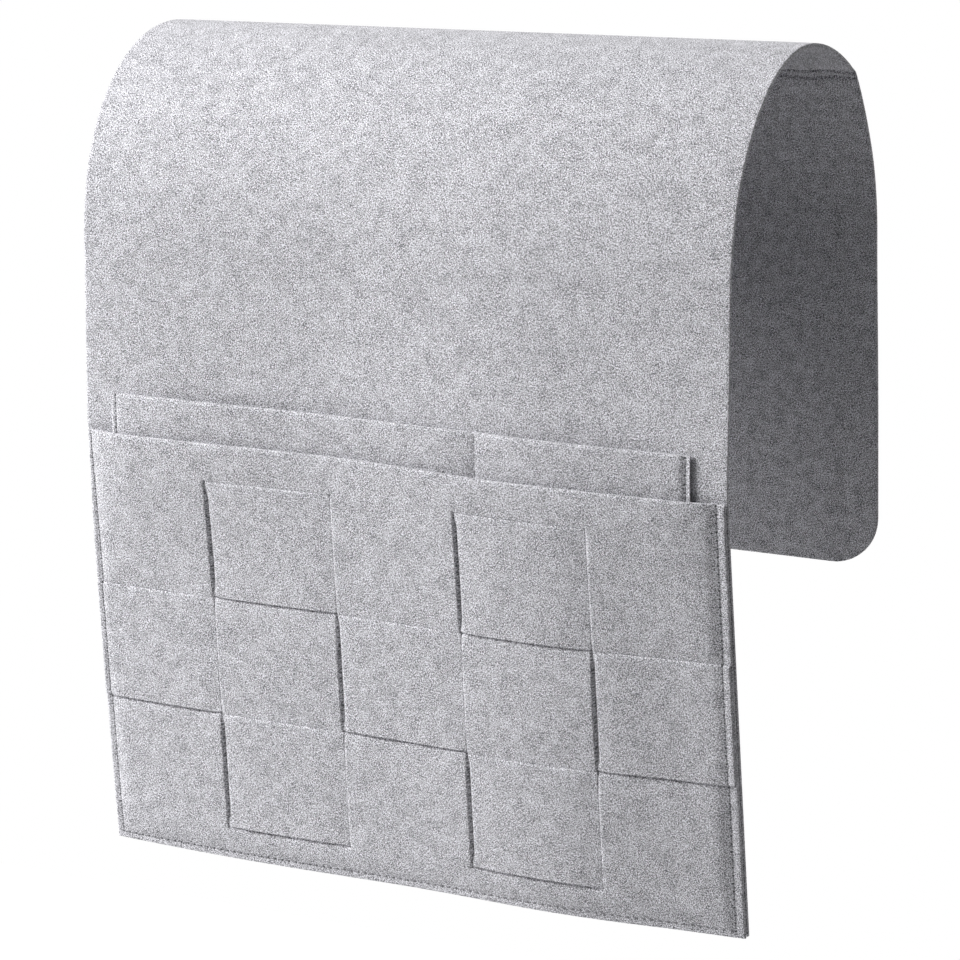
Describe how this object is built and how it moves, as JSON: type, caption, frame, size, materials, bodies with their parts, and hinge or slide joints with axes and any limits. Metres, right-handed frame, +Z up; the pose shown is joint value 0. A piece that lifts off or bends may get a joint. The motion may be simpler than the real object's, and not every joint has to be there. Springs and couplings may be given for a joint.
{
  "type": "bedside caddy",
  "caption": "Felt caddy that saddles a bed rail or armrest: an arched sheet with a folding back flap, a divided inner pocket and a front pocket woven from felt strips.",
  "frame": {"origin": "underside of the arch at its highest point, midway across the sheet", "axes": "+Z up, the pockets look towards -Y, +X to the right of someone who faces the pockets"},
  "size_m": [0.35, 0.1737, 0.4126],
  "materials": {
    "felt": "matte",
    "thread": "matte"
  },
  "bodies": {
    "saddle": {"main_sheet": "felt", "inner_pocket_panel": "felt", "front_pocket_panel": "felt", "upper_woven_strip": "felt", "middle_woven_strip": "felt", "lower_woven_strip": "felt", "pocket_seam_needle_thread": "thread", "pocket_seam_bobbin_thread": "thread", "inner_seam_needle_thread": "thread", "inner_seam_bobbin_thread": "thread", "divider_needle_thread": "thread", "divider_bobbin_thread": "thread"},
    "flap": {"back_flap": "felt"}
  },
  "joints": [
    {"name": "flap_fold", "type": "hinge", "parent": "saddle", "child": "flap", "pos_m": [0, 0.05344, -0.02515], "axis": [1, 0, 0], "range_deg": [-20, 90], "stiffness_Nm_per_rad": 0.03, "springref_deg": 20.51}
  ]
}
